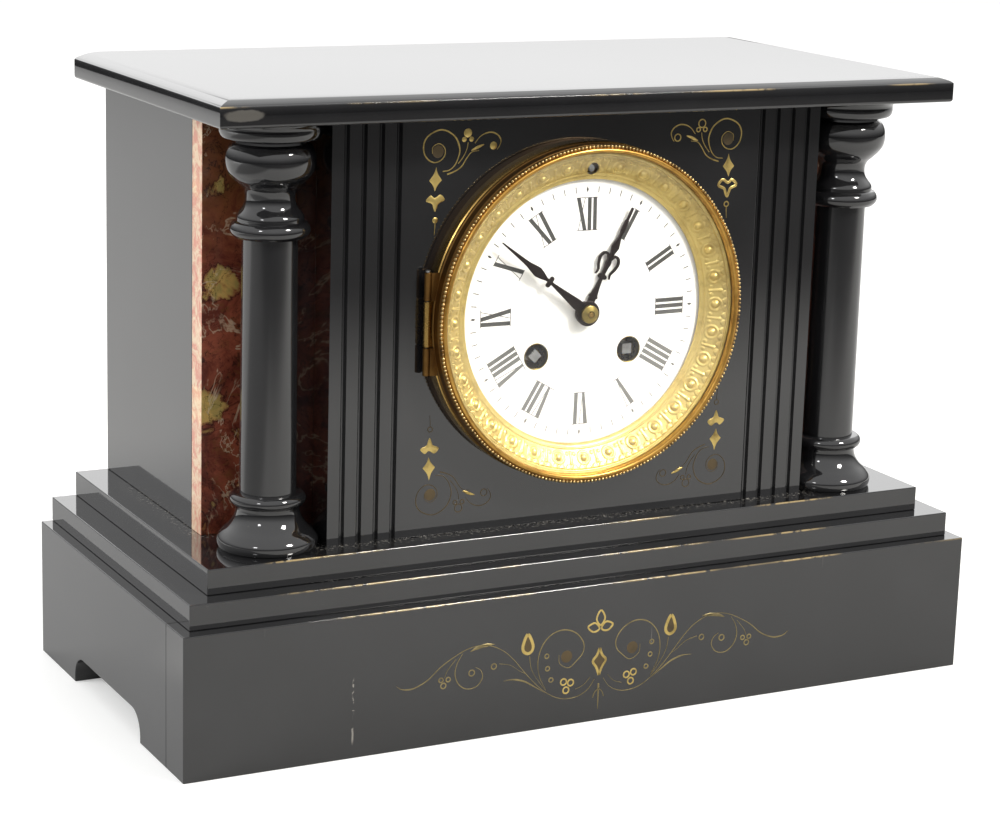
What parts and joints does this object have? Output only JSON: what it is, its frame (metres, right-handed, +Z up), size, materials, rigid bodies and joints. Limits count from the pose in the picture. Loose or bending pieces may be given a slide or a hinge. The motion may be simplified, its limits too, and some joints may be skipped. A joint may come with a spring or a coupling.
{
  "type": "black slate mantel clock",
  "caption": "Black slate mantel clock with a stepped base, turned columns, marble side panels, a hinged glazed bezel, an enamel dial and a striking movement with a pendulum",
  "frame": {"origin": "the middle of the footprint, on the plane that the base stands on", "axes": "+X along the clock's width to the right as seen from the front, +Y from front to back, +Z up"},
  "size_m": [0.35, 0.1656, 0.2512],
  "materials": {
    "slate": "black slate, polished to a mirror, with fine scratches and dusty joints",
    "marble": "polished red-brown marble with ochre patches and pale veins",
    "gilt": "gilt brass, beaded and embossed, worn brown on the rim",
    "brass": "lacquered brass, lightly tarnished",
    "steel": "bright steel",
    "blued_steel": "dark blued steel",
    "enamel": "white enamel with black painted numerals",
    "bell_metal": "turned bell metal",
    "glass": "clear glass with a bevelled edge"
  },
  "bodies": {
    "case": {"base_front_slab": "slate", "base_left_slab": "slate", "base_right_slab": "slate", "base_back_slab": "slate", "lower_step": "slate", "upper_step": "slate", "left_side_slab": "slate", "left_marble_panel": "marble", "left_cheek": "slate", "left_pilaster": "slate", "right_side_slab": "slate", "right_marble_panel": "marble", "right_cheek": "slate", "right_pilaster": "slate", "dial_panel": "slate", "back_slab": "slate", "top_slab": "slate", "left_column_base": "slate", "left_column_shaft": "slate", "left_column_capital": "slate", "right_column_base": "slate", "right_column_shaft": "slate", "right_column_capital": "slate", "bezel_seat_ring": "brass", "bezel_hinge_pin": "steel", "dial_plate": "brass", "enamel_dial": "enamel", "front_plate": "brass", "back_plate": "brass", "bell_stand": "steel", "bell": "bell_metal", "suspension_cock": "brass", "back_ring": "brass", "movement_strap_left": "steel", "movement_strap_right": "steel"},
    "bezel": {"bezel_rim": "gilt", "bezel_glass": "glass", "sight_ring": "gilt"},
    "rear_door": {"back_door": "brass"},
    "minute_work": {"centre_wheel": "brass", "minute_hand": "blued_steel", "hand_nut": "brass"},
    "hour_work": {"hour_wheel": "brass", "hour_hand": "blued_steel"},
    "minute_wheel_body": {"minute_wheel": "brass"},
    "going_barrel_body": {"going_barrel": "brass"},
    "going_winder": {"going_arbor": "steel"},
    "going_second": {"going_second_wheel": "brass"},
    "third": {"third_wheel": "brass"},
    "escape": {"escape_wheel": "brass"},
    "anchor_body": {"anchor": "steel"},
    "pendulum_body": {"pendulum": "brass"},
    "regulator": {"regulator_arbor": "steel"},
    "strike_barrel_body": {"strike_barrel": "brass"},
    "strike_winder": {"strike_arbor": "steel"},
    "strike_second": {"strike_second_wheel": "brass", "count_wheel": "brass"},
    "pin_work": {"pin_wheel": "brass"},
    "fly_body": {"fly": "steel"},
    "hammer_body": {"hammer": "steel"}
  },
  "joints": [
    {"name": "bezel_hinge", "type": "hinge", "parent": "case", "child": "bezel", "pos_m": [-0.06875, -0.0611, 0.1615], "axis": [0, 0, -1], "range_deg": [0, 105]},
    {"name": "back_door_hinge", "type": "hinge", "parent": "case", "child": "rear_door", "pos_m": [0.062, 0.0774, 0.1615], "axis": [0, 0, -1], "range_deg": [0, 100]},
    {"name": "minute_hand_turn", "type": "hinge", "parent": "case", "child": "minute_work", "pos_m": [0, -0.04555, 0.1615], "axis": [0, 1, 0], "continuous": true},
    {"name": "hour_hand_turn", "type": "hinge", "parent": "case", "child": "hour_work", "pos_m": [0, -0.04555, 0.1615], "axis": [0, 1, 0], "continuous": true},
    {"name": "minute_wheel_turn", "type": "hinge", "parent": "case", "child": "minute_wheel_body", "pos_m": [0, -0.04555, 0.1495], "axis": [0, 1, 0], "continuous": true},
    {"name": "going_barrel_turn", "type": "hinge", "parent": "case", "child": "going_barrel_body", "pos_m": [0.0205, -0.04555, 0.14525], "axis": [0, 1, 0], "continuous": true},
    {"name": "going_second_turn", "type": "hinge", "parent": "case", "child": "going_second", "pos_m": [0.01719, -0.04555, 0.1648], "axis": [0, 1, 0], "continuous": true},
    {"name": "third_wheel_turn", "type": "hinge", "parent": "case", "child": "third", "pos_m": [-0.00953, -0.04555, 0.1746], "axis": [0, 1, 0], "continuous": true},
    {"name": "escape_wheel_turn", "type": "hinge", "parent": "case", "child": "escape", "pos_m": [0, -0.04555, 0.1843], "axis": [0, 1, 0], "continuous": true},
    {"name": "going_winding", "type": "hinge", "parent": "case", "child": "going_winder", "pos_m": [0.0205, -0.04555, 0.14525], "axis": [0, 1, 0], "continuous": true},
    {"name": "strike_winding", "type": "hinge", "parent": "case", "child": "strike_winder", "pos_m": [-0.0205, -0.04555, 0.14525], "axis": [0, 1, 0], "continuous": true},
    {"name": "pendulum_swing", "type": "hinge", "parent": "case", "child": "pendulum_body", "pos_m": [0, -0.04555, 0.1977], "axis": [0, 1, 0], "range_deg": [-4, 4]},
    {"name": "anchor_swing", "type": "hinge", "parent": "case", "child": "anchor_body", "pos_m": [0, -0.04555, 0.1977], "axis": [0, 1, 0], "range_deg": [-4, 4]},
    {"name": "regulating", "type": "hinge", "parent": "case", "child": "regulator", "pos_m": [0, -0.04555, 0.2181], "axis": [0, 1, 0], "range_deg": [-360, 360]},
    {"name": "pin_wheel_turn", "type": "hinge", "parent": "case", "child": "pin_work", "pos_m": [-0.02601, -0.04555, 0.17863], "axis": [0, 1, 0], "continuous": true},
    {"name": "strike_second_turn", "type": "hinge", "parent": "case", "child": "strike_second", "pos_m": [-0.02394, -0.04555, 0.16478], "axis": [0, 1, 0], "continuous": true},
    {"name": "strike_barrel_turn", "type": "hinge", "parent": "case", "child": "strike_barrel_body", "pos_m": [-0.0205, -0.04555, 0.14525], "axis": [0, 1, 0], "continuous": true},
    {"name": "fly_turn", "type": "hinge", "parent": "case", "child": "fly_body", "pos_m": [-0.01999, -0.04555, 0.18807], "axis": [0, 1, 0], "continuous": true},
    {"name": "hammer_lift", "type": "hinge", "parent": "case", "child": "hammer_body", "pos_m": [-0.038, -0.04555, 0.1645], "axis": [0, -1, 0], "range_deg": [0, 20]}
  ],
  "couplings": [
    {"joint": "hour_hand_turn", "follows": "minute_hand_turn", "ratio": 0.083333},
    {"joint": "minute_wheel_turn", "follows": "minute_hand_turn", "ratio": -0.33333},
    {"joint": "going_second_turn", "follows": "minute_hand_turn", "ratio": -0.16667},
    {"joint": "going_barrel_turn", "follows": "minute_hand_turn", "ratio": 0.027778},
    {"joint": "third_wheel_turn", "follows": "minute_hand_turn", "ratio": -7},
    {"joint": "anchor_swing", "follows": "pendulum_swing", "ratio": 1},
    {"joint": "strike_second_turn", "follows": "pin_wheel_turn", "ratio": -0.2},
    {"joint": "strike_barrel_turn", "follows": "pin_wheel_turn", "ratio": 0.033333},
    {"joint": "fly_turn", "follows": "pin_wheel_turn", "ratio": -5}
  ]
}
